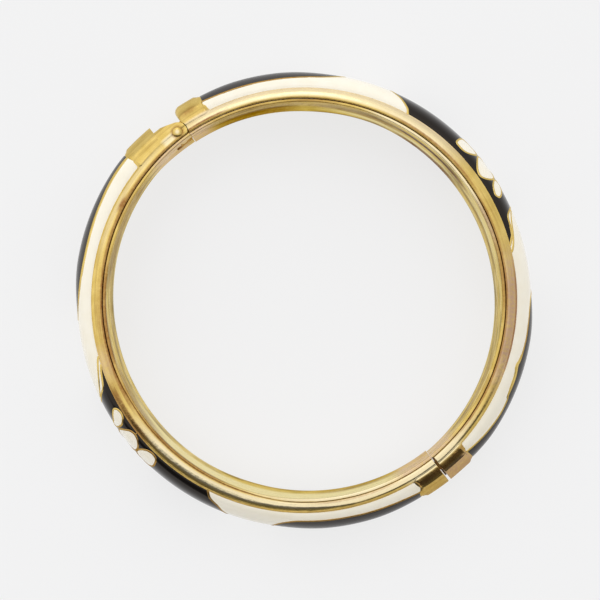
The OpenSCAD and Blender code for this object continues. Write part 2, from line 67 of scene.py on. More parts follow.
KNUCKLE_H = 2.6
KNUCKLE_BLOCK = 1.36
TONGUE = (INNER_R + 1.75, 0.62)
TONGUE_T, TONGUE_H, TONGUE_LEN, TONGUE_SEAT = 1.0, 3.6, 4.6, 2.4
PIN = (-31.26, 0.77)
MID_Z = WIDTH_MID / 2
SHELL_IN = INNER_R + LINER_T + LINER_GAP
TAPER_REF = INNER_R + 1
TAPER_SINK = (WIDTH_MID - WIDTH_END) / 2
TAPER_R = (TAPER_REF**2 + TAPER_SINK**2) / (2 * TAPER_SINK)
RING_DEG = 180 / (math.pi * CREST_R)
# How far a half's first and last face lie from its own middle
FACES = {"tongue": (2.68, 1.17), "socket": (0.33, 2.68)}
BODY = {"tongue": "tongue_half", "socket": "socket_half"}

# Turn of the view about the vertical, and the place on the ring at the top of the view, in degrees
VIEW_TURN = 51.6
VIEW_TOP = 90 + VIEW_TURN

# Each row says from where to where round the ring, how soft its ends are, in degrees, and how much in mm

# The dome swells a little where a half ends
SWELLS = [(10, 50, 8, 0.4), (140, 166, 8, 0.2)]
# How far the rolled edge reaches over the liner
HEMS = {"tongue": [], "socket": [(78, 130, 8, 0.3)]}
# How far a liner's lower edge leans in
LEANS = {"tongue": [(128, 200, 14, 0.42)], "socket": [(116, 200, 12, 0.22), (-20, 5, 9, 0.4)]}
# How much wider the outline of a core is
WIDER = {
    ("tongue", "end"): [(28, 38, 3, 0.35)],
    ("socket", "end"): [(13, 24, 3, 0.35), (24, 54, 4, 0.22)],
}

# Where the crest of a rolled edge lies, as a share of its width from the seam. Near the blocks it lies
# further out: each row says where that begins and where it is whole, in degrees, and the added share.
ROLL_CREST = 0.2
CREST_SHIFTS = {
    "tongue": [(40, 26, 0.2), (16, 5, 0.16)],
    "socket": [(112, 130, 0.12), (140, 158, 0.2)],
}
# How deep the inner side of the rolled edge is round, and how deep it goes, in mm
HEM_LOW = 0.4
ROLL_DEEP = 3.2 * RIM_H

# Width in mm of the step down to the enamel at a cell's end, and where a block reaches its height
RIM_OF_CELL = 0.12
BLOCK_RISE = 0.9
# A block's flat faces meet at this angle round the dome, and keep a share of its roundness
BLOCK_CREASE = 60.0
BLOCK_ROUND = 0.25
# How high a block fills the corner beside its rolled edge, how far from the seam that begins, in mm,
# and how far round the dome, in degrees
BLOCK_FILL = 0.3
FILL_OUT = 0.5
FILL_DOWN = 58
# How far the edge of a block's face is rounded, over the dome and over the rolled edge, in mm
FACE_ROUND = {
    ("tongue", "start"): (1.3, 0.3),
    ("tongue", "end"): (0.14, 0.1),
    ("socket", "start"): (0.14, 0.1),
    ("socket", "end"): (0.05, 0.0),
}
# How far in mm a liner's ends reach past the blocks' faces, but for the seam
LINER_PAST = {"tongue": (0.08, 0.34), "socket": (0.12, 4.2)}
# The rounding in mm of a liner's edges, on the inside and beside the seam
LINER_SOFT = 0.14
LINER_SOFT_OUT = 0.06

# Levels in mm from the dome's own surface: metal under the enamel, enamel, and enamel at its edge
METAL = -0.1
ENAMEL = -0.05
ENAMEL_EDGE = -0.08
# The section of an outline: share of its half width, and level
WIRE_SHAPE = [(-1, -0.14), (-1, -0.08), (-0.8, -0.035), (-0.4, -0.008), (0, 0),
              (0.4, -0.008), (0.8, -0.035), (1, -0.08), (1, -0.14)]
# Widths in mm of the outlines, and from an outline's middle to the enamel beside it
CORE_LINE = 0.3
FIELD_LINE = 0.34
PETAL_LINE = 0.32
DROP_LINE = 0.24
GAP = 0.1
# Where a cell meets the rolled edge, in degrees round the dome, and nearly how long a degree is in mm
LIP = 89.3
DOME_DEG = 0.075

# A half's own frame has its first block near 180 degrees and its last one near 0. Each place is
# (degrees round the ring, degrees round the dome from its crest), drawn for the upper side and
# mirrored to the lower one.

CORES = {
    ("tongue", "start"): (130.4, [(131.2, 22), (133, 35), (136, 46), (140.9, 52), (145.8, 55), (150.8, 56.5),
                                  (160.7, 57), (164.7, 55.5), (168.0, 53)]),
    ("tongue", "end"): (55, [(54.3, 12), (52.2, 34.6), (47.2, 45.1), (42.3, 48), (37.4, 52.9), (35.4, 58.5),
                             (32.4, 53.2), (27.4, 50.9), (26.4, 46), (22.5, 44), (17.5, 49),
                             (12.1, 56), (9.6, 60)]),
    ("socket", "start"): (132.7, [(133.5, 26), (134.9, 45), (137.9, 58), (140.9, 61.5), (150.8, 62),
                                  (155.7, 60.5), (160.7, 59), (165.7, 56), (167.9, 54), (171.9, 49)]),
    ("socket", "end"): (57, [(56.6, 20.5), (52.2, 39), (47.2, 50), (42.3, 55.4), (37.4, 55.2),
                             (32.4, 52.4), (27.4, 49.3), (22.5, 45), (17.5, 42), (13.5, 41)]),
}
# The end of the cream cell by the block, from the core to the rolled edge, with its round corner
CELL_ENDS = {
    ("tongue", "start"): [(168.0, 53), (168.1, 62), (168.0, 76), (167.6, 84), (166.8, LIP)],
    ("tongue", "end"): [(9.6, 60), (9.4, 69), (9.5, 79), (9.8, 85.5), (10.6, LIP)],
    ("socket", "start"): [(171.9, 49), (172.6, 63), (172.6, 77), (172.2, 85), (171.4, LIP)],
    ("socket", "end"): [(13.5, 41), (13.4, 54), (13.1, 74), (13.4, 84.5), (14.2, LIP)],
}
# The crest and the sides of the black field, and the line beyond its right side
PANEL_LEFT = {
    "tongue": (119, [(117.2, 31.6), (115.7, 44.7), (114.2, 59.6), (112.9, 73), (112.4, 83), (112.1, LIP)]),
    "socket": (121.5, [(119.4, 38), (118.1, 52.7), (116.7, 61.6), (115.6, 69.4), (114.9, 79.7),
                       (114.3, LIP)]),
}
PANEL_RIGHT = {
    "tongue": (76.3, [(76.2, 12), (75.6, 40), (74.4, 61.1), (71.9, 67.4), (69.4, 73.1), (68.4, 79.2),
                      (66.8, LIP)]),
    "socket": (78.4, [(78.3, 20.4), (76.3, 54), (75.2, 68), (73.2, 76), (71.1, 82.5), (69.4, LIP)]),
}
LINE_RIGHT = {
    "tongue": [(75.3, 34), (73.9, 49.3), (71.9, 59.4), (69.1, 68.8), (67, 77.1), (65.6, 84.6), (65.1, LIP)],
    "socket": [(77.1, 34), (75.8, 47.6), (73.9, 59.4), (71.9, 68.9), (69.7, 77.3), (68, 84), (67.2, LIP)],
}
PETALS = {
    "tongue": [
        [(97.6, 55.5), (97.5, 66.1), (96.5, 69.4), (95, 69.9), (93.7, 65), (92.6, 54.1), (91.8, 37.4),
         (92.3, 22), (94.4, 12), (96.6, 24), (97.4, 40)],
        [(91.1, 37.4), (90.4, 54.6), (89.4, 68), (88.3, 77), (87, 80.5), (85.9, 75), (85, 62.5),
         (84.4, 44.7), (84.7, 26), (86.1, 12), (87.8, 7), (89.6, 12), (90.9, 24)],
        [(83.9, 41.3), (83.1, 57.8), (81.7, 67.3), (80.5, 69.9), (79.7, 62.9), (79.7, 53), (80.4, 38.2),
         (81.3, 23), (82.6, 14), (83.6, 24)],
    ],
    "socket": [
        [(99.1, 44.7), (98.9, 64), (98.4, 75), (97, 80.5), (95.4, 76), (94.2, 64), (93.5, 47.7),
         (93.8, 28), (95.8, 12), (98.2, 24)],
        [(93.2, 50.5), (92.4, 66), (91.2, 76), (89.8, 79.5), (88.4, 73), (87.4, 58), (86.6, 41.3),
         (86.7, 24), (88.1, 11), (89.8, 6), (91.7, 12), (93.1, 28)],
        [(86, 57.8), (85.4, 71), (84.4, 80.5), (83.2, 83), (82, 78), (81.5, 67.6), (82.4, 54),
         (83.6, 40), (84.3, 24), (85.1, 20), (85.8, 32)],
    ],
}


def cosd(a):
    return math.cos(math.radians(a))


def sind(a):
    return math.sin(math.radians(a))


def asind(share):
    return math.degrees(math.asin(share))


def smooth(x, low, high):
    s = min(1.0, max(0.0, (x - low) / (high - low)))
    return s * s * (3 - 2 * s)


def bump(x, low, high, soft):
    return smooth(x, low - soft, low + soft) * (1 - smooth(x, high - soft, high + soft))


def bumps(phi, rows):
    return sum(much * bump(phi, low, high, soft) for low, high, soft, much in rows)


def half_width(phi):
    return MID_Z - TAPER_R + math.sqrt(TAPER_R**2 - (TAPER_REF * cosd(phi)) ** 2)


def lip_radius(phi):
    return INNER_R + RIM_END + (RIM_MID - RIM_END) * sind(phi)


def dome(phi, t, off=0.0):
    """Radius and height of a place on the dome, phi degrees round the ring and t round from the crest."""
    lip = lip_radius(phi)
    crest = CREST_R + bumps(phi, SWELLS)
    return lip + (crest - lip + off) * cosd(t), (half_width(phi) - RIM_H + off) * sind(t)


def placed(half, x, y, height):
    """A place in the row frame, in metres, from one in a half's own frame in mm."""
    y -= HALF_SHIFT
    if half == "socket":
        x, y = -x, -y
    return Vector((x, y, height + MID_Z)) / 1000


def world(half, phi, radius, height):
    return placed(half, radius * cosd(phi), radius * sind(phi), height)


def in_plane(half, side, y, radius, height):
    """The place of a radius and a height in the plane at y, at the side -1 or 1 of the middle."""
    return placed(half, side * math.sqrt(radius * radius - y**2), y, height)


def on_dome(half, phi, t, off=0.0):
    return world(half, phi, *dome(phi, t, off))


def dome_normal(half, phi, t):
    p = on_dome(half, phi, t)
    n = (on_dome(half, phi + 0.2, t) - p).cross(on_dome(half, phi, t + 0.5) - p).normalized()
    return n if n.dot(p - world(half, phi, lip_radius(phi), 0)) > 0 else -n


# Meshes


def new_piece(name, verts, faces, material, body, stands_for=(), uvs=None, sharp=35):
    mesh = bpy.data.meshes.new(name)
    mesh.from_pydata([tuple(v) for v in verts], [], faces)
    mesh.materials.append(material)
    if uvs:
        layer = mesh.uv_layers.new(name="along")
        for loop in mesh.loops:
            layer.data[loop.index].uv = uvs[loop.vertex_index]
    mesh.polygons.foreach_set("use_smooth", [True] * len(faces))
    mesh.set_sharp_from_angle(angle=math.radians(sharp))
    obj = bpy.data.objects.new(name, mesh)
    bpy.context.collection.objects.link(obj)
    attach(obj, body)
    if stands_for:
        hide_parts(*stands_for)
    return obj


def apply(obj, modifier):
    """Gives the piece the mesh that the modifier makes."""
    bpy.context.view_layer.update()
    graph = bpy.context.evaluated_depsgraph_get()
    done = bpy.data.meshes.new_from_object(obj.evaluated_get(graph))
    obj.modifiers.remove(modifier)
    obj.data = done
    done.set_sharp_from_angle(angle=math.radians(35))


def prism(outline, low, high):
    """A closed mesh over an outline, between two heights from the middle plane, all in mm."""
    n = len(outline)
    verts = [Vector((x, y, z + MID_Z)) / 1000 for z in (low, high) for x, y in outline]
    faces = [tuple(range(n))[::-1], tuple(range(n, 2 * n))]
    faces += [(i, (i + 1) % n, n + (i + 1) % n, n + i) for i in range(n)]
    return verts, faces


def cut(obj, outline, low, high, operation="DIFFERENCE"):
    """Cuts a prism out of a piece, or with INTERSECT keeps only what both share."""
    verts, faces = prism(outline, low, high)
    mesh = bpy.data.meshes.new("tool")
    mesh.from_pydata([tuple(v) for v in verts], [], faces)
    tool = bpy.data.objects.new("tool", mesh)
    bpy.context.collection.objects.link(tool)
    modifier = obj.modifiers.new("cut", "BOOLEAN")
    modifier.operation = operation
    modifier.solver = "EXACT"
    modifier.object = tool
    apply(obj, modifier)
    bpy.data.objects.remove(tool)


def soften(obj, width):
    """Rounds the sharp edges of a piece that was cut."""
    modifier = obj.modifiers.new("round", "BEVEL")
    modifier.width = width / 1000
    modifier.segments = 3
    modifier.limit_method = "ANGLE"
    modifier.angle_limit = math.radians(50)
    apply(obj, modifier)


def circle(x, y, r, count=48, first=0.0, last=360.0):
    """Places round a circle, or along an arc with both its ends."""
    steps = count if last - first >= 360 else count + 1
    angles = [first + (last - first) * k / count for k in range(steps)]
    return [(x + r * cosd(a), y + r * sind(a)) for a in angles]


def box_outline(x0, y0, x1, y1):
    return [(x0, y0), (x1, y0), (x1, y1), (x0, y1)]


def lengths(points):
    """How far along a line each of its points lies."""
    out = [0.0]
    for a, b in zip(points, points[1:]):
        out.append(out[-1] + math.dist(a, b))
    return out


def loft(rings, angles=(), outline=()):
    """A closed mesh through rings of places, with its texture places along the ring and the section."""
    n = len(rings[0])
    verts = [p for ring in rings for p in ring]
    uvs = [(phi / RING_DEG, v) for phi in angles for v in lengths(outline)]
    faces = []
    for i in range(len(rings) - 1):
        for j in range(n):
            k = (j + 1) % n
            faces.append((i * n + j, i * n + k, (i + 1) * n + k, (i + 1) * n + j))
    faces.append(tuple(range(n))[::-1])
    faces.append(tuple(range((len(rings) - 1) * n, len(rings) * n)))
    return verts, faces, uvs


# The shells and the liners


def roll(half, phi):
    """The upper rolled edge from the seam over to the dome: round up to its crest, then flatter."""
    top, lip = half_width(phi), lip_radius(phi)
    crest = ROLL_CREST + sum(share * smooth(phi, low, high) for low, high, share in CREST_SHIFTS[half])
    hem = bumps(phi, HEMS[half])
    rise = [0.0, 0.05, 0.12, 0.2, 0.3, 0.4, 0.5, 0.6, 0.7, 0.8, 0.9]
    fall = 22
    shares = [crest * (1 - (1 - k) ** 0.45) for k in rise]
    shares += [crest + (1 - crest) * k / fall for k in range(fall + 1)]
    points = [(SHELL_IN, top - ROLL_DEEP), (SHELL_IN, top - HEM_LOW)]
    for s in shares:
        inward = max(0, 1 - s / crest)
        if s < crest:
            drop = HEM_LOW * (1 - (1 - inward**4) ** 0.25)
        else:
            drop = RIM_H * ((s - crest) / (1 - crest)) ** 2
        points.append((SHELL_IN + s * (lip - SHELL_IN) - hem * inward, top - drop))
    return points


def block_point(phi, t, proud):
    """A place on a block: two flat faces on each side of the crest, a little rounded."""
    start, end = (0, BLOCK_CREASE) if abs(t) < BLOCK_CREASE else (BLOCK_CREASE, 90)
    share = (abs(t) - start) / (end - start)
    sign = 1 if t >= 0 else -1
    low = dome(phi, sign * start, proud * cosd(start))
    high = dome(phi, sign * end, proud * cosd(end))
    full = dome(phi, t, proud * cosd(t))
    flat = [a + (b - a) * share for a, b in zip(low, high)]
    return tuple(BLOCK_ROUND * f + (1 - BLOCK_ROUND) * g for f, g in zip(full, flat))


def cell_end(half, side, t):
    """The angle round the ring where the enamel ends by a block, at an angle round the dome."""
    line = CELL_ENDS[half, side]
    t = abs(t)
    if t <= line[0][1]:
        return line[0][0]
    for (phi0, t0), (phi1, t1) in zip(line, line[1:]):
        if t <= t1:
            return phi0 + (phi1 - phi0) * (t - t0) / (t1 - t0)
    return line[-1][0]


def past_cell(half, phi, t):
    """How far in mm a place lies past the enamel, toward a block's face. Below 0 it is on the enamel."""
    return max(phi - cell_end(half, "start", t), cell_end(half, "end", t) - phi) / RING_DEG


def belly_point(half, phi, t, proud):
    """A place on the metal between the rolled edges: low under the enamel, and raised at a block."""
    beyond = past_cell(half, phi, t)
    if beyond < 0:
        return dome(phi, t, METAL)
    level = METAL * (1 - smooth(beyond, 0, RIM_OF_CELL))
    share = smooth(beyond, RIM_OF_CELL, BLOCK_RISE)
    low, high = dome(phi, t, level), block_point(phi, t, proud)
    return tuple(a + (b - a) * share for a, b in zip(low, high))


def section(half, phi, proud=BLOCK_PROUD, drop=0.0):
    """The shell's outer surface from the upper seam to the lower one, as radius and height in mm."""
    by_lip = 89
    fill = BLOCK_FILL * smooth(past_cell(half, phi, by_lip), 0, BLOCK_RISE)
    base, lip = half_width(phi) - RIM_H, lip_radius(phi)
    upper = []
    for r, z in roll(half, phi):
        filled = base + fill * smooth(r, SHELL_IN + FILL_OUT, lip)
        upper.append((r, max(z, filled) - drop))
    belly = []
    for t in [89.5] + list(range(87, -88, -3)) + [-89.5]:
        r, z = belly_point(half, phi, t, proud)
        belly.append((r, z + math.copysign(fill * smooth(abs(t), FILL_DOWN, 90), t)))
    lower = [(r, -z) for r, z in reversed(upper)]
    return upper + belly + lower


def ring_angles(half, first, last):
    """Angles round the ring from a half's first block to its last one, closer together near the blocks."""
    near, fine, coarse = 3, 0.12 * RING_DEG, 0.4 * RING_DEG
    start, end = cell_end(half, "start", 0) - near, cell_end(half, "end", 0) + near
    out = [first]
    while out[-1] > last:
        out.append(out[-1] - (fine if out[-1] > start or out[-1] < end else coarse))
    out[-1] = last
    return out


def rounded(radius, distance):
    """How far a rounded edge lies back at a distance from the face."""
    if distance >= radius:
        return 0
    return radius - math.sqrt(radius**2 - (radius - distance) ** 2)


def face_rings(half, side):
    """Rings from a block's face inwards, their angles, and the angle where the next one may follow."""
    corner, edge = FACE_ROUND[half, side]
    turn, face = (-1, FACES[half][0]) if side == "start" else (1, FACES[half][1])
    distances = sorted({0.0, 0.02, 0.05, 0.1, 0.14} | {corner * (k / 8) ** 1.5 for k in range(1, 9)})

    def angle(distance):
        far = asind((face + distance) / CREST_R)
        return far if side == "end" else 180 - far

    rings = []
    for d in distances:
        proud = BLOCK_PROUD - 0.9 * rounded(corner, d)
        points = section(half, angle(d), proud, rounded(edge, d))
        rings.append([in_plane(half, turn, face + d, r, z) for r, z in points])
    return rings, [angle(d) for d in distances], angle(distances[-1] + 0.1)


def shell_piece(half):
    first_rings, first_angles, first = face_rings(half, "start")
    last_rings, last_angles, last = face_rings(half, "end")
    angles = ring_angles(half, first, last)
    rings = [[world(half, phi, r, z) for r, z in section(half, phi)] for phi in angles]
    return loft(first_rings + rings + last_rings[::-1], first_angles + angles + last_angles[::-1],
                section(half, 90))


def liner_section(half, phi):
    """A thin upright band with rounded edges, as radius and height in mm."""
    high = half_width(phi) - LINER_DROP
    upper = circle(INNER_R + LINER_SOFT, high - LINER_SOFT, LINER_SOFT, 3, 180, 90)
    upper += circle(INNER_R + LINER_T - LINER_SOFT_OUT, high - LINER_SOFT_OUT, LINER_SOFT_OUT, 3, 90, 0)
    lower = [(r, -z) for r, z in reversed(upper)]
    steps = 36
    wall = [(INNER_R, (high - LINER_SOFT) * (2 * k / steps - 1)) for k in range(1, steps)]
    lean = bumps(phi, LEANS[half])
    return [(r - lean * max(0, -z / high) ** 1.5, z) for r, z in upper + lower + wall]


def liner_piece(half):
    """A liner, with its ends in planes like the blocks' faces."""
    first_y, last_y = (face + LINER_GAP - past for face, past in zip(FACES[half], LINER_PAST[half]))
    middle = INNER_R + LINER_T / 2
    first, last = 180 - asind(first_y / middle), asind(last_y / middle)
    steps = 200
    angles = [first + (last - first) * k / steps for k in range(steps + 1)]
    sections = [liner_section(half, phi) for phi in angles]
    rings = [[world(half, phi, r, z) for r, z in points] for phi, points in zip(angles, sections)]
    rings[0] = [in_plane(half, -1, first_y, r, z) for r, z in sections[0]]
    rings[-1] = [in_plane(half, 1, last_y, r, z) for r, z in sections[-1]]
    return loft(rings, angles, sections[-1])


# Outlines on the dome. A place is (degrees round the ring, degrees round the dome), and may carry a
# third value, a width. They are worked out in a flat plane that is nearly in mm.


def to_plane(p):
    return (p[0] / RING_DEG, p[1] * DOME_DEG)


def from_plane(p):
    return (p[0] * RING_DEG, p[1] / DOME_DEG)


def between(a, b, c, d, s):
    """The value a share s on from b to c, on the smooth line through four values."""
    line = 2 * b + (c - a) * s
    bend = (2 * a - 5 * b + 4 * c - d) * s * s
    turn = (3 * b - a - 3 * c + d) * s**3
    return 0.5 * (line + bend + turn)


def curve(points, closed=False):
    """A smooth line through places, as places a step apart."""
    step = 0.2
    pts = [(*to_plane(p), *p[2:]) for p in points]
    n = len(pts)
    out = []
    for i in range(n if closed else n - 1):
        p1, p2 = pts[i], pts[(i + 1) % n]
        p0 = pts[i - 1] if closed or i > 0 else tuple(2 * a - b for a, b in zip(p1, p2))
        p3 = pts[(i + 2) % n] if closed or i + 2 < n else tuple(2 * b - a for a, b in zip(p1, p2))
        count = max(1, int(math.dist(p1[:2], p2[:2]) / step))
        for k in range(count):
            out.append(tuple(between(*values, k / count) for values in zip(p0, p1, p2, p3)))
    if not closed:
        out.append(pts[-1])
    return [(*from_plane(p), *p[2:]) for p in out]


def mirrored(points):
    """The same line on the lower side of the dome, from its far end."""
    return [(p[0], -p[1], *p[2:]) for p in reversed(points)]


def lip_line(first, last):
    """Places along the rolled edge, from one angle round the ring to another."""
    step = 0.35
    count = max(1, int(abs(first - last) / step))
    return [(first + (last - first) * k / count, LIP) for k in range(count + 1)]


def inside(p, polygon):
    """Whether a place lies within a closed line: a ray from it crosses the line an odd number of times."""
    x, y = p
    hit = False
    for i in range(len(polygon)):
        (x0, y0), (x1, y1) = polygon[i - 1], polygon[i]
        if (y0 > y) != (y1 > y) and x < (x1 - x0) * (y - y0) / (y1 - y0) + x0:
            hit = not hit
    return hit


def near_edge(p, polygon):
    reach = 0.12
    return any(abs(p[0] - x) < reach and abs(p[1] - y) < reach for x, y in polygon)


def cell_piece(name, half, outline, material, stands_for=(), holes=(), grid=0.42):
    """Enamel inside an outline, without its holes, slightly hollow at its edges. The grid is in mm."""
    loops = [[to_plane(p[:2]) for p in line] for line in (outline, *holes)]

    def within(p):
        return inside(p, loops[0]) and not any(inside(p, hole) for hole in loops[1:])

    plane, edges = [], []
    for line in loops:
        base = len(plane)
        plane += line
        edges += [(base + i, base + (i + 1) % len(line)) for i in range(len(line))]
    border = len(plane)
    xs, ys = [p[0] for p in loops[0]], [p[1] for p in loops[0]]
    for i in range(int((max(xs) - min(xs)) / grid) + 1):
        for j in range(int((max(ys) - min(ys)) / grid) + 1):
            p = (min(xs) + grid * (i + 0.5 * (j % 2)), min(ys) + grid * (j + 0.5))
            if within(p) and not any(near_edge(p, line) for line in loops):
                plane.append(p)
    found = geometry.delaunay_2d_cdt([Vector(p) for p in plane], edges, [], 0, 1e-5)
    places, triangles, origins = found[0], found[2], found[3]
    faces = [tuple(t) for t in triangles if within(sum((Vector(places[i]) for i in t), Vector((0, 0))) / 3)]
    verts, uvs = [], []
    for place, origin in zip(places, origins):
        phi, t = from_plane(place)
        at_edge = any(source < border for source in origin)
        verts.append(on_dome(half, phi, t, ENAMEL_EDGE if at_edge else ENAMEL))
        uvs.append((place[0], place[1]))
    a, b, c = (verts[i] for i in faces[0])
    outward = (a + b + c) / 3 - world(half, from_plane(places[faces[0][0]])[0], INNER_R, 0)
    if (b - a).cross(c - a).dot(outward) < 0:
        faces = [t[::-1] for t in faces]
    return new_piece(name, verts, faces, material, BODY[half], stands_for, uvs, sharp=80)


def wire(mesh, half, line, width, closed=False):
    """Adds a rounded strip of metal along a line on the dome to a mesh's places, faces and uvs."""
    verts, faces, uvs = mesh
    pts = [on_dome(half, p[0], p[1]) for p in line]
    n, m = len(pts), len(WIRE_SHAPE)
    base = len(verts)
    run = 0.0
    for i, p in enumerate(line):
        before = pts[i - 1] if closed or i > 0 else pts[i]
        after = pts[(i + 1) % n] if closed or i < n - 1 else pts[i]
        normal = dome_normal(half, p[0], p[1])
        side = normal.cross((after - before).normalized()).normalized()
        half_wide = (p[2] if len(p) > 2 else width) / 2000
        run += (pts[i] - before).length * 1000
        for k, (x, z) in enumerate(WIRE_SHAPE):
            verts.append(pts[i] + side * x * half_wide + normal * z / 1000)
            uvs.append((run, 0.1 * k))
    for i in range(n if closed else n - 1):
        for k in range(m - 1):
            a, b = base + i * m + k, base + ((i + 1) % n) * m + k
            faces.append((a, a + 1, b + 1, b))
    if not closed:
        faces.append(tuple(range(base, base + m)))
        faces.append(tuple(range(base + (n - 1) * m, base + n * m))[::-1])


# Materials


def material(name, colour, metallic, roughness, coat=0.0):
    mat = bpy.data.materials.new(name)
    mat.use_nodes = True
    shader = mat.node_tree.nodes["Principled BSDF"]
    shader.inputs["Base Color"].default_value = (*colour, 1)
    shader.inputs["Metallic"].default_value = metallic
    shader.inputs["Roughness"].default_value = roughness
    shader.inputs["Coat Weight"].default_value = coat
    shader.inputs["Coat Roughness"].default_value = 0.06
    return mat, mat.node_tree, shader


def mixed(tree, amount, low, high):
    """Mixes two colours, or links, by an amount."""
    node = tree.nodes.new("ShaderNodeMix")
    node.data_type = "RGBA"
    tree.links.new(amount, node.inputs[0])
    for value, socket in ((low, node.inputs[6]), (high, node.inputs[7])):
        if isinstance(value, tuple):
            socket.default_value = (*value, 1)
        else:
            tree.links.new(value, socket)
    return node.outputs[2]


def ranged(tree, value, low, high, to_low=0.0, to_high=1.0):
    node = tree.nodes.new("ShaderNodeMapRange")
    tree.links.new(value, node.inputs["Value"])
    for name, number in (("From Min", low), ("From Max", high), ("To Min", to_low), ("To Max", to_high)):
        node.inputs[name].default_value = number
    return node.outputs["Result"]


def cloud(tree, scale, detail=4.0, stretch=None):
    """Noise over the object in mm, or along its texture places where stretch is given."""
    coordinates = tree.nodes.new("ShaderNodeTexCoord")
    mapping = tree.nodes.new("ShaderNodeMapping")
    tree.links.new(coordinates.outputs["UV" if stretch else "Object"], mapping.inputs["Vector"])
    mapping.inputs["Scale"].default_value = stretch or (1000, 1000, 1000)
    node = tree.nodes.new("ShaderNodeTexNoise")
    node.inputs["Scale"].default_value = scale
    node.inputs["Detail"].default_value = detail
    tree.links.new(mapping.outputs["Vector"], node.inputs["Vector"])
    return node.outputs["Fac"]


def maths(tree, operation, first, second):
    """A sum, difference or product of numbers or links."""
    node = tree.nodes.new("ShaderNodeMath")
    node.operation = operation
    for value, socket in ((first, node.inputs[0]), (second, node.inputs[1])):
        if isinstance(value, (int, float)):
            socket.default_value = value
        else:
            tree.links.new(value, socket)
    return node.outputs[0]


def bumped(tree, shader, height, strength, distance):
    node = tree.nodes.new("ShaderNodeBump")
    node.inputs["Strength"].default_value = strength
    node.inputs["Distance"].default_value = distance
    tree.links.new(height, node.inputs["Height"])
    tree.links.new(node.outputs["Normal"], shader.inputs["Normal"])


def attribute(tree, name, output):
    node = tree.nodes.new("ShaderNodeAttribute")
    node.attribute_name = name
    return node.outputs[output]


def tones(tree):
    """How brown, pinkish, dark and pale a place is: tarnish, and painted highlights, reflections and shade.
    """
    split = tree.nodes.new("ShaderNodeSeparateColor")
    tree.links.new(attribute(tree, "tone", "Color"), split.inputs["Color"])
    pale = attribute(tree, "pale", "Fac")
    return split.outputs["Red"], split.outputs["Green"], split.outputs["Blue"], pale


# The metal's colour on the whole, and its lighter and deeper parts
GOLD = (0.7, 0.5, 0.15)
GOLD_LIGHT = (0.72, 0.53, 0.17)
GOLD_DEEP = (0.62, 0.44, 0.115)
# Its colours where it has lines, where it is tarnished, and where light and shade are painted on it, each
# seen head on and at a grazing angle. Pale is a painted highlight; pink is partly a painted reflection of
# the grey floor; brown is tarnish and partly painted shade and dark reflections; dark is painted shade.
LINES = (0.32, 0.18, 0.05)
PAINTED_HIGHLIGHT = (0.84, 0.72, 0.46), (1.0, 0.95, 0.6)
PINK = (0.62, 0.44, 0.31), (1.0, 0.86, 0.72)
BROWN = (0.26, 0.1, 0.03), (0.42, 0.3, 0.19)
DARK = (0.02, 0.01, 0.006), (0.02, 0.01, 0.006)
# The cream enamel's colour on the whole, and its lighter and deeper parts
CREAM = (0.89, 0.84, 0.72)
CREAM_LIGHT = (0.97, 0.915, 0.78)
CREAM_DEEP = (0.95, 0.885, 0.73)


def gold_material(name, roughness, edge, across, streaks, relief):
    """Worn gilt brass with lines along the ring. Its edge colour is the one at a grazing angle, across is
    how fine its lines are, streaks how brown and relief how deep. Attributes say where it is tarnished and
    where highlights, reflections and shade are painted into its colour."""
    mat, tree, shader = material(name, GOLD, 1.0, roughness)
    brown, pink, dark, pale = tones(tree)
    wear = cloud(tree, 0.55, 5)
    speck = cloud(tree, 2.2, 3)
    lines = cloud(tree, 1.0, 3, (0.1, across, 1))
    grain = ranged(tree, lines, 0.48, 0.7, 0.0, streaks)
    blush = maths(tree, "MULTIPLY", pink, ranged(tree, speck, 0.35, 0.6, 0.45, 1.0))
    stain_and_shade = maths(tree, "MULTIPLY", brown, ranged(tree, speck, 0.3, 0.6, 0.7, 1.0))
    base = mixed(tree, ranged(tree, wear, 0.35, 0.7), GOLD_LIGHT, GOLD_DEEP)
    base = mixed(tree, grain, base, LINES)
    rim = mixed(tree, grain, edge, tuple(0.45 * c for c in edge))
    # Mixes in the tones: pale a painted highlight, pink partly a painted reflection, brown tarnish with
    # painted shade and dark reflections, dark painted shade
    for amount, (head_on, grazing) in ((pale, PAINTED_HIGHLIGHT), (blush, PINK), (stain_and_shade, BROWN), (dark, DARK)):
        base = mixed(tree, amount, base, head_on)
        rim = mixed(tree, amount, rim, grazing)
    tree.links.new(base, shader.inputs["Base Color"])
    tree.links.new(rim, shader.inputs["Specular Tint"])
    rough = ranged(tree, wear, 0.3, 0.7, roughness - 0.06, roughness + 0.08)
    tree.links.new(rough, shader.inputs["Roughness"])
    dents = ranged(tree, cloud(tree, 1.6, 3), 0.0, 1.0, 0.0, 0.7)
    height = maths(tree, "ADD", ranged(tree, lines, 0.0, 1.0, 0.0, relief), dents)
    bumped(tree, shader, height, 0.5, 0.00008)
    return mat


def black_material(name, colour, roughness):
    mat, tree, shader = material(name, colour, 0.0, roughness)
    shader.inputs["Specular IOR Level"].default_value = 0.34
    shader.inputs["Specular Tint"].default_value = (1.0, 0.87, 0.76, 1)
    bumped(tree, shader, cloud(tree, 0.7, 3), 0.1, 0.0001)
    return mat


def cream_material():
    mat, tree, shader = material("cream_enamel", CREAM, 0.0, 0.2, 0.2)
    tint = mixed(tree, ranged(tree, cloud(tree, 0.5, 3), 0.35, 0.7), CREAM_LIGHT, CREAM_DEEP)
    tree.links.new(tint, shader.inputs["Base Color"])
    bumped(tree, shader, cloud(tree, 0.7, 3), 0.08, 0.0001)
    return mat


gilt = gold_material("gilt_brass", 0.19, edge=(1.0, 0.93, 0.72), across=2.2, streaks=0.45, relief=1.0)
gilt_liner = gold_material("gilt_brass_liner", 0.16, edge=(0.95, 0.84, 0.42), across=0.55, streaks=0.8,
                           relief=3.0)
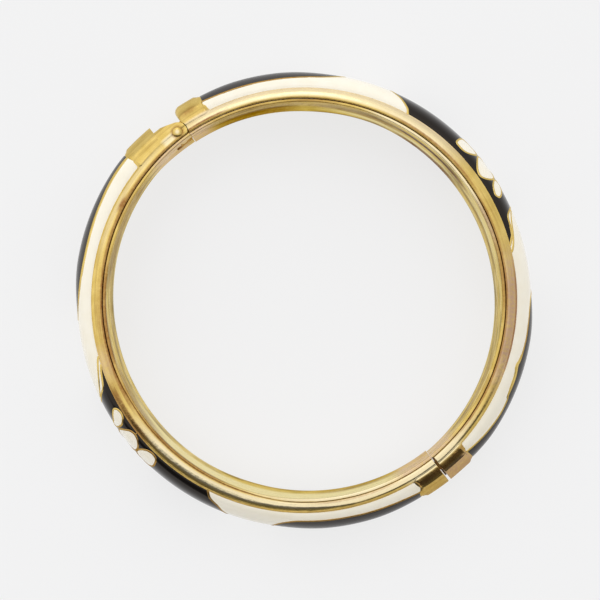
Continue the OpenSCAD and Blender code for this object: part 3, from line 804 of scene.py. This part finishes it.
# Darker, rougher gold for the clasp's tongue: painted shade in the slit
gilt_slit_shade = gold_material("gilt_brass_slit_shade", 0.4, edge=(0.8, 0.6, 0.4), across=1.0, streaks=0.3, relief=1.0)
black = black_material("black_enamel", (0.004, 0.003, 0.003), 0.14)
# The cores' black is lighter and rougher: scuffing, and a painted grey sheen at the dome's outer edge
scuffed_sheen_black = black_material("black_enamel_scuffed_sheen", (0.042, 0.04, 0.04), 0.24)
cream = cream_material()

# Where the metal is tarnished, and where highlights, reflections and shade are painted on it. The angle is
# clockwise in degrees seen from above, with 0 at the top of the view. Each row says what shows, its first
# and last angle and how soft they are, then its first and last place across with their softness, and how
# strong it is.

ALL_ROUND = (-90, 360, 1)
ALL_ACROSS = (-9, 9, 1)

# Across the rolled edge, from 0 at the seam to 1 at the dome. Brown here is tarnish and partly painted
# dark reflections and shade, and pale is a painted highlight.
ROLL_WEAR_AND_LIGHT = [
    # Painted dark reflection on the inner side of the rolled edge toward the top of the view
    ("brown", 26, 56, 7, 0.08, 0.3, 0.07, 0.75),
    ("brown", 20, 50, 7, -0.5, 0.06, 0.05, 0.3),
    ("brown", -20, 26, 7, -0.5, 0.1, 0.08, 0.35),
    ("brown", -36, -22, 2, 0.15, 0.35, 0.08, 0.9),
    ("brown", 58, 130, 6, -0.5, 0.18, 0.05, 0.7),
    ("brown", 82, 108, 6, 0.1, 0.88, 0.1, 0.28),
    ("brown", 60, 128, 6, 0.4, 0.5, 0.05, 0.2),
    ("brown", 80, 108, 5, 0.88, 1.2, 0.06, 0.75),
    ("brown", 152, 228, 8, 0.75, 1.2, 0.1, 0.2),
    ("brown", 228, 246, 4, 0.5, 1.2, 0.1, 0.75),
    ("brown", 244, 278, 6, 0.2, 0.5, 0.1, 0.3),
    ("brown", 238, 282, 5, -0.5, 0.2, 0.06, 0.85),
    ("brown", 276, 320, 5, -0.5, 0.26, 0.07, 0.7),
    # Painted dark reflections on the blocks' side and outer faces at the clasp
    ("brown", 131, 151, 3, 1.1, 1.9, 0.2, 0.78),
    ("brown", 131, 151, 3, 1.9, 9.0, 0.2, 0.35),
    ("pink", 132, 140.8, 0.3, 1.9, 9.0, 0.2, 0.7),
    # Painted shade on the tongue block's face by the hinge, and in the joint beside the ear
    ("brown", -32.5, -28.5, 1.5, 1.75, 2.4, 0.3, 0.6),
    ("brown", -36, -33.9, 0.6, 0.2, 2.2, 0.3, 0.6),
    ("pink", 78, 112, 8, 0.1, 1.2, 0.15, 0.9),
    ("pink", 248, 256, 3, 0.1, 1.2, 0.2, 0.5),
    ("pink", -34, 46, 8, 0.75, 1.2, 0.15, 0.35),
    # Painted highlights on the rolled edge, the ear and the blocks
    ("pale", -34, 46, 8, 0.22, 1.1, 0.12, 0.8),
    ("pale", -43, -39, 1, 0.3, 1.1, 0.15, 0.9),
    ("pale", 126, 232, 8, 0.0, 0.6, 0.12, 0.95),
    ("pale", 131, 151, 3, 0.3, 1.0, 0.1, 0.85),
    ("brown", 154, 178, 5, 0.02, 0.2, 0.06, 0.5),
    ("brown", 184, 250, 6, -0.4, -0.08, 0.06, 0.85),
    # Painted highlights on the ear's rolled edge
    ("pale", 283, 315, 6, 0.4, 0.9, 0.1, 0.35),
    ("pale", 317, 321, 1, 0.3, 1.1, 0.15, 0.9),
    ("brown", 295, 299, 1.5, -0.1, 0.55, 0.15, 0.9),
]
# Up the wall of the liner in mm. Its brown and dark bands are streaks and partly painted dark reflections,
# its pink by the hinge and the clasp is a painted reflection of the grey floor, and its pale is a painted
# reflection of light.
LINER_WEAR_AND_LIGHT = [
    ("brown", -26, -2, 5, 2.2, 6.6, 0.8, 0.62),
    ("brown", -26, 2, 5, 6.6, 9.8, 0.8, 0.4),
    ("brown", 2, 27, 5, -1.0, 2.3, 0.4, 0.5),
    ("brown", 2, 30, 5, 5.2, 8.2, 0.6, 0.55),
    ("brown", 2, 30, 5, 8.2, 10.6, 0.5, 0.3),
    ("brown", 30, 52, 5, -1.0, 3.1, 0.4, 0.95),
    ("brown", 28, 55, 5, 7.0, 9.1, 0.4, 1.0),
    ("dark", 30, 50, 5, 7.4, 8.6, 0.4, 0.4),
    ("brown", 60, 120, 5, 10.5, 12.0, 0.25, 0.6),
    ("brown", 55, 80, 5, 3.4, 5.7, 0.6, 0.35),
    ("brown", 84, 104, 5, 4.4, 6.0, 0.6, 0.3),
    ("brown", 104, 128, 5, 4.9, 7.9, 0.8, 0.45),
    ("brown", 154, 176, 5, 1.9, 5.2, 0.8, 0.3),
    ("brown", 176, 204, 5, 0.0, 2.6, 0.6, 0.3),
    ("brown", 204, 232, 6, 10.2, 14.0, 0.4, 0.7),
    ("brown", 228, 250, 5, 7.0, 14.0, 1.5, 0.5),
    ("brown", 250, 306, 5, 3.5, 5.5, 0.6, 0.35),
    ("brown", 250, 306, 5, 10.2, 14.0, 0.3, 0.8),
    ("brown", 274, 306, 5, 4.6, 9.2, 0.8, 0.5),
    ("pink", -42, -27, 3, -1.0, 14.0, 0.5, 0.8),
    ("pink", 310, 324, 3, -1.0, 14.0, 0.5, 0.8),
    ("pink", 131, 153, 3, -1.0, 14.0, 0.5, 0.8),
    ("pale", 152, 238, 8, 4.5, 10.6, 0.8, 1.0),
    ("pale", 10, 50, 8, 3.2, 5.0, 0.5, 0.7),
    ("pale", 56, 78, 6, 6.0, 10.0, 0.8, 0.5),
    ("pale", -24, 72, 6, 10.9, 14.0, 0.15, 0.9),
]
# Across the outlines there is one place only
WIRE_WEAR = [
    ("brown", -28, 6, 4, *ALL_ACROSS, 0.65),
    ("brown", 92, 103, 3, *ALL_ACROSS, 0.5),
    ("brown", 143, 236, 4, *ALL_ACROSS, 0.65),
]
# Out from the middle of the hinge pin in mm: a painted highlight on the pin's head, and a painted brown
# shade round it.
PIN_HIGHLIGHT_AND_SHADE = [
    ("pale", *ALL_ROUND, -1.0, 0.3, 0.15, 0.9),
    ("brown", *ALL_ROUND, 0.65, 1.0, 0.2, 0.6),
]
# The clasp's tongue is painted dark brown all over: painted shade in the slit where it shows.
CLASP_SHADE = [
    ("brown", *ALL_ROUND, *ALL_ACROSS, 0.9),
    ("dark", *ALL_ROUND, *ALL_ACROSS, 0.5),
]


def own_place(half, p):
    """The clockwise angle, and the angle and distance in the half's own frame, of a place in metres."""
    x, y = p.x * 1000, p.y * 1000
    if half == "socket":
        x, y = -x, -y
    y += HALF_SHIFT
    phi = math.degrees(math.atan2(y, x))
    if phi < -90:
        phi += 360
    return VIEW_TOP + (180 if half == "socket" else 0) - phi, phi, math.hypot(x, y)


def tone_place(found, table, angle, across):
    """Raises what a table says of a place to its strength there."""
    for kind, first, last, soft, low, high, soft_across, strength in table:
        if first - soft < angle < last + soft and low - soft_across < across < high + soft_across:
            amount = strength * bump(angle, first, last, soft) * bump(across, low, high, soft_across)
            found[kind] = max(found[kind], amount)


def paint(obj, half, *tone_tables):
    """Sets how brown, pinkish, dark and pale each place is, from tables with the measure each is by:
    tarnish, and painted highlights, reflections and shade.
    """
    colours, pales = [], []
    for v in obj.data.vertices:
        angle, phi, r = own_place(half, v.co)
        found = dict.fromkeys(("brown", "pink", "dark", "pale"), 0.0)
        for table, measure in tone_tables:
            tone_place(found, table, angle, measure(phi, r, v.co.z * 1000))
        colours += [found["brown"], found["pink"], found["dark"], 1]
        pales.append(found["pale"])
    obj.data.color_attributes.new("tone", "FLOAT_COLOR", "POINT").data.foreach_set("color", colours)
    obj.data.attributes.new("pale", "FLOAT", "POINT").data.foreach_set("value", pales)


# The measures. The hidden underside has nothing painted on its rolled edge and hinge.
NOWHERE = -9


def over_roll(phi, r, z):
    """The share of the rolled edge's width from the seam."""
    return (r - SHELL_IN) / (lip_radius(phi) - SHELL_IN) if z >= MID_Z else NOWHERE


def from_pin(phi, r, z):
    """The distance from the pin's middle, which the socket half's own frame has at its other side."""
    x, y = r * cosd(phi), r * sind(phi) - HALF_SHIFT
    if x > 0:
        x, y = -x, -y
    return math.hypot(x - PIN[0], y - PIN[1]) if z >= MID_Z else NOWHERE


def up_wall(phi, r, z):
    return z


def anywhere(phi, r, z):
    return 0


# The cells


def crossing(crest, upper):
    """A line from the upper rolled edge or block over the dome's crest to the lower one."""
    line = upper[::-1] + [(crest, 0)] + mirrored(upper[::-1])
    return curve(line)


def cell_outlines(half):
    """All the outlines of a half, each a list of places on the dome."""
    left, right = crossing(*PANEL_LEFT[half]), crossing(*PANEL_RIGHT[half])
    line = curve(LINE_RIGHT[half])
    joint = line[0][1]
    crest = [p for p in right if abs(p[1]) < joint]
    beyond = line[::-1] + crest + mirrored(line[::-1])
    out = {"left": left, "right": right, "line": line}
    for side, edge in (("start", left), ("end", beyond)):
        core = crossing(*CORES[half, side])
        corner = curve(CELL_ENDS[half, side])
        upper = corner + lip_line(corner[-1][0], edge[0][0])[1:-1]
        out["core_" + side] = core
        out["white_" + side] = upper + edge + mirrored(upper) + core[-2:0:-1]
    top = lip_line(right[0][0], left[0][0])[1:-1]
    out["panel"] = left + mirrored(top) + right[::-1] + top
    out["sliver"] = [p for p in right if p[1] > joint] + line[1:]
    out["petals"] = [curve(p, closed=True) for p in PETALS[half]]
    return out


def inset(line, distance):
    """A closed line moved inwards by a distance in mm."""
    pts = [to_plane(p[:2]) for p in line]
    n = len(pts)
    area = sum(pts[i - 1][0] * pts[i][1] - pts[i][0] * pts[i - 1][1] for i in range(n))
    sign = 1 if area > 0 else -1
    out = []
    for i in range(n):
        a, b = pts[i - 1], pts[(i + 1) % n]
        dx, dy = b[0] - a[0], b[1] - a[1]
        length = math.hypot(dx, dy) or 1
        out.append(from_plane((pts[i][0] - sign * dy / length * distance,
                               pts[i][1] + sign * dx / length * distance)))
    return out


def spaced(line):
    """A closed line without places that lie too close together."""
    least = 0.06
    out = []
    for p in line:
        if not out or math.dist(to_plane(p[:2]), to_plane(out[-1][:2])) > least:
            out.append(p)
    if math.dist(to_plane(out[0][:2]), to_plane(out[-1][:2])) <= least:
        out.pop()
    return out


def cell_edge(line):
    """Where the enamel inside an outline ends."""
    return spaced(inset(spaced(line), GAP))


def thicker(line, width, rows):
    """A line with its width at each place. The rows make it wider on the upper side."""
    return [(phi, t, width + (bumps(phi, rows) if t > 0 else 0)) for phi, t in line]


def enamel_half(half):
    lines = cell_outlines(half)
    name = half + "_"
    for side in ("start", "end"):
        core, white = "core_" + side, "white_" + side
        cell_piece(name + core + "_enamel", half, cell_edge(lines[core]), scuffed_sheen_black,
                   [name + core])
        cell_piece(name + white + "_enamel", half, cell_edge(lines[white]), cream,
                   [name + white])
    petals = [spaced(p) for p in lines["petals"]]
    petals += [mirrored(p) for p in petals]
    cell_piece(name + "panel_enamel", half, cell_edge(lines["panel"]), black,
               [name + "panel"], holes=[spaced(inset(p, -GAP)) for p in petals])
    for k, petal in enumerate(petals, 1):
        cell_piece(name + "petal_%d_enamel" % k, half, spaced(inset(petal, GAP)), cream,
                   [name + "petal_%d" % k], grid=0.3)
    sliver = cell_edge(lines["sliver"])
    for k, line in enumerate((sliver, mirrored(sliver)), 1):
        cell_piece(name + "sliver_%d_enamel" % k, half, line, cream, grid=0.3)

    mesh = ([], [], [])
    for side in ("start", "end"):
        rows = WIDER.get((half, side), [])
        wire(mesh, half, thicker(lines["core_" + side], CORE_LINE, rows), CORE_LINE)
    for line in (lines["left"], lines["right"], lines["line"], mirrored(lines["line"])):
        wire(mesh, half, line, FIELD_LINE)
    if half == "socket":
        # The middle petal is joined to the rolled edge here
        drop = [(90.1, 80), (90.1, 84), (90.1, 88.5)]
        wire(mesh, half, drop, DROP_LINE)
        wire(mesh, half, mirrored(drop), DROP_LINE)
    for petal in petals:
        wire(mesh, half, petal, PETAL_LINE, closed=True)
    verts, faces, uvs = mesh
    obj = new_piece(name + "outlines", verts, faces, gilt, BODY[half], uvs=uvs, sharp=60)
    paint(obj, half, (WIRE_WEAR, anywhere))


# Metal

EAR_TOP = half_width(0) - 0.2 * RIM_H
KNUCKLE_TOP = KNUCKLE_H / 2
SLOT_TOP = KNUCKLE_TOP + 0.06
# Clearance of a turning piece, how far ears and knuckle run into their blocks, and a reach past all
TURN_GAP = 0.12
INTO_BLOCK = 0.3
FAR = 8


def ear_outline():
    x, y = PIN
    foot = y - EAR_BLOCK - INTO_BLOCK
    return circle(x, y, EAR_R, 24, -10, 150) + [
        (x - 0.93 * EAR_R, y + 0.41 * EAR_R), (x - EAR_REACH, y - 1.1 * EAR_R),
        (x - EAR_REACH, foot), (x + EAR_R, foot),
    ]


def knuckle_outline():
    """The knuckle: round below the pin, and a stem into its block with a step at the inner side."""
    x, y = PIN
    inner, stem, step_low, step_high = x + 1.42, x + 0.91, y + 0.5, y + 1.33
    outer, foot = x - 0.9 * EAR_R, y + KNUCKLE_BLOCK + INTO_BLOCK
    return circle(x, y, EAR_R, 32, 180, 360) + [
        (inner, step_low), (inner, step_high), (stem, step_high), (stem, foot), (outer, foot), (outer, y),
    ]


def cut_tongue_room(obj, sideways, inward, outward, upward):
    """Cuts the room for the clasp's tongue out of a shell. It reaches past the tongue as far as given."""
    x, y = TONGUE
    room = box_outline(x - sideways, y - inward, x + TONGUE_T + sideways, y + outward)
    cut(obj, room, -TONGUE_H / 2 - upward, TONGUE_H / 2 + upward)


def cut_knuckle_slot(obj):
    """Cuts the slot in which the knuckle turns."""
    x, y = PIN
    cut(obj, box_outline(x - 4, y - EAR_R - TURN_GAP, x + 6, y + 4), -SLOT_TOP, SLOT_TOP)


def tongue_half_metal():
    verts, faces, uvs = shell_piece("tongue")
    shell = new_piece("tongue_shell_metal", verts, faces, gilt, BODY["tongue"],
                      ["tongue_shell"], uvs)
    for low, high in ((KNUCKLE_TOP, FAR), (-FAR, -KNUCKLE_TOP)):
        cut(shell, circle(*PIN, EAR_R + TURN_GAP), low, high)
    cut_tongue_room(shell, sideways=0.03, inward=1, outward=TONGUE_SEAT + 0.03, upward=0.03)
    paint(shell, "tongue", (ROLL_WEAR_AND_LIGHT, over_roll), (PIN_HIGHLIGHT_AND_SHADE, from_pin))
    verts, faces = prism(knuckle_outline(), -KNUCKLE_TOP, KNUCKLE_TOP)
    knuckle = new_piece("tongue_knuckle", verts, faces, gilt, BODY["tongue"])
    cut(knuckle, circle(*PIN, PIN_R + 0.05), -FAR, FAR)
    soften(knuckle, 0.08)
    paint(knuckle, "tongue")


def socket_half_metal():
    verts, faces, uvs = shell_piece("socket")
    shell = new_piece("socket_shell_metal", verts, faces, gilt, BODY["socket"],
                      ["socket_shell"], uvs)
    cut_tongue_room(shell, sideways=0.35, inward=TONGUE_LEN + 0.4, outward=0, upward=0.2)
    paint(shell, "socket", (ROLL_WEAR_AND_LIGHT, over_roll))

    # The ears carry on the shell's section past its block, a hair lower so that the two don't flicker
    lower, step = 0.015, 0.29
    angles = [5.2 - step * i for i in range(31)]
    sections = [section("socket", phi, BLOCK_PROUD - lower, 0.01) for phi in angles]
    rings = [[world("socket", phi, r, z) for r, z in points] for phi, points in zip(angles, sections)]
    verts, faces, uvs = loft(rings, angles, section("socket", 0))
    ears = new_piece("socket_ears", verts, faces, gilt, BODY["socket"], uvs=uvs)
    cut(ears, ear_outline(), -FAR / 2, FAR / 2, "INTERSECT")
    cut_knuckle_slot(ears)
    cut(ears, circle(*PIN, PIN_R + 0.02), -FAR, FAR)
    soften(ears, 0.1)
    paint(ears, "socket", (ROLL_WEAR_AND_LIGHT, over_roll), (PIN_HIGHLIGHT_AND_SHADE, from_pin))


def hinge_pin():
    """A riveted pin: a rod with a low round head at each end."""
    steps, rise, seat = 8, 0.3, EAR_TOP + 0.02
    profile = []
    for k in range(1, steps + 1):
        a = 90 / steps * k
        profile.append((HEAD_R * sind(a), -seat - rise * cosd(a)))
    profile.append((PIN_R, -seat))
    profile += [(r, -z) for r, z in reversed(profile)]
    rings = [[Vector((x, y, MID_Z + z)) / 1000 for x, y in circle(*PIN, r, 40)] for r, z in profile]
    verts, faces, _ = loft(rings)
    pin = new_piece("hinge_pin_metal", verts, faces, gilt, BODY["socket"], ["hinge_pin"])
    paint(pin, "socket", (PIN_HIGHLIGHT_AND_SHADE, from_pin))


def liners():
    for half in ("tongue", "socket"):
        verts, faces, uvs = liner_piece(half)
        band = new_piece(half + "_liner_band", verts, faces, gilt_liner, BODY[half],
                         [half + "_liner"], uvs)
        if half == "socket":
            cut_knuckle_slot(band)
        paint(band, half, (LINER_WEAR_AND_LIGHT, up_wall))


def clasp():
    """The plain tongue, with the plate that shows in the slit, painted dark as the slit's shade. It stays as
    the part has it.
    """
    piece = bpy.data.objects["clasp_tongue"]
    piece.data.materials.clear()
    piece.data.materials.append(gilt_slit_shade)
    paint(piece, "tongue", (CLASP_SHADE, anywhere))


tongue_half_metal()
socket_half_metal()
hinge_pin()
liners()
clasp()
enamel_half("tongue")
enamel_half("socket")

# Floor, light, room and camera


def floor():
    """White paper, lit by itself as well, so that it shows nearly white with only faint shadows."""
    reach = 2
    corners = [(-reach, -reach, 0), (reach, -reach, 0), (reach, reach, 0), (-reach, reach, 0)]
    mesh = bpy.data.meshes.new("floor")
    mesh.from_pydata(corners, [], [(0, 1, 2, 3)])
    mat, tree, shader = material("paper", (0.18, 0.18, 0.184), 0.0, 0.9)
    shader.inputs["Specular IOR Level"].default_value = 0.1
    shader.inputs["Emission Color"].default_value = (1, 1, 1, 1)
    shader.inputs["Emission Strength"].default_value = 0.725
    mesh.materials.append(mat)
    obj = bpy.data.objects.new("floor", mesh)
    bpy.context.collection.objects.link(obj)


def lamp(name, towards, height, distance, size, power):
    """A square soft light, aimed at the ring. It stands at an angle clockwise from the top of the view and
    at one above the floor, both in degrees."""
    data = bpy.data.lights.new(name, "AREA")
    data.size = size
    data.energy = power
    obj = bpy.data.objects.new(name, data)
    a = VIEW_TOP - towards
    obj.location = Vector((cosd(a) * cosd(height), sind(a) * cosd(height), sind(height))) * distance
    obj.rotation_euler = (-obj.location).to_track_quat("-Z", "Y").to_euler()
    bpy.context.collection.objects.link(obj)


def studio():
    """A pale room, a little brighter overhead and toward the top of the view, less bright at its right,
    and dark at its foot down to just above the floor."""
    room = bpy.data.worlds.new("studio")
    bpy.context.scene.world = room
    room.use_nodes = True
    tree = room.node_tree
    coordinates = tree.nodes.new("ShaderNodeTexCoord")
    turned = tree.nodes.new("ShaderNodeMapping")
    turned.inputs["Rotation"].default_value = (0, 0, math.radians(-VIEW_TURN))
    tree.links.new(coordinates.outputs["Generated"], turned.inputs["Vector"])
    split = tree.nodes.new("ShaderNodeSeparateXYZ")
    tree.links.new(turned.outputs["Vector"], split.inputs["Vector"])
    side, up, high = split.outputs["X"], split.outputs["Y"], split.outputs["Z"]
    overhead = ranged(tree, high, 0.4, 0.75, 0.2, 1.0)
    top = maths(tree, "MULTIPLY", ranged(tree, up, 0.0, 0.3, 0.0, 0.2), overhead)
    right = ranged(tree, side, 0.1, 0.5, 0.0, 0.24)
    bright = maths(tree, "SUBTRACT", maths(tree, "ADD", 1.12, top), right)
    foot = maths(tree, "MULTIPLY", ranged(tree, up, -0.34, -0.5), ranged(tree, high, 0.1, 0.3))
    pale = maths(tree, "SUBTRACT", 1.0, maths(tree, "MULTIPLY", 0.88, foot))
    background = tree.nodes["Background"]
    background.inputs["Color"].default_value = (1, 1, 1, 1)
    tree.links.new(maths(tree, "MULTIPLY", bright, pale), background.inputs["Strength"])


def camera():
    """Straight above the ring, a little off its middle, as in the photo. Lengths are in mm."""
    height, off_right, off_up = 230, -0.61, 0.045
    data = bpy.data.cameras.new("camera")
    data.sensor_width = 36
    data.lens = 89.148
    data.clip_start = 0.01
    obj = bpy.data.objects.new("camera", data)
    right = Vector((cosd(VIEW_TURN), sind(VIEW_TURN), 0))
    up = Vector((-sind(VIEW_TURN), cosd(VIEW_TURN), 0))
    obj.location = (off_right * right + off_up * up + Vector((0, 0, height))) / 1000
    obj.rotation_euler = (0, 0, math.radians(VIEW_TURN))
    bpy.context.collection.objects.link(obj)
    bpy.context.scene.camera = obj


floor()
lamp("key", -12, 48, 0.6, 0.2, 0.08)
studio()
camera()
bpy.context.scene.view_settings.view_transform = "Standard"
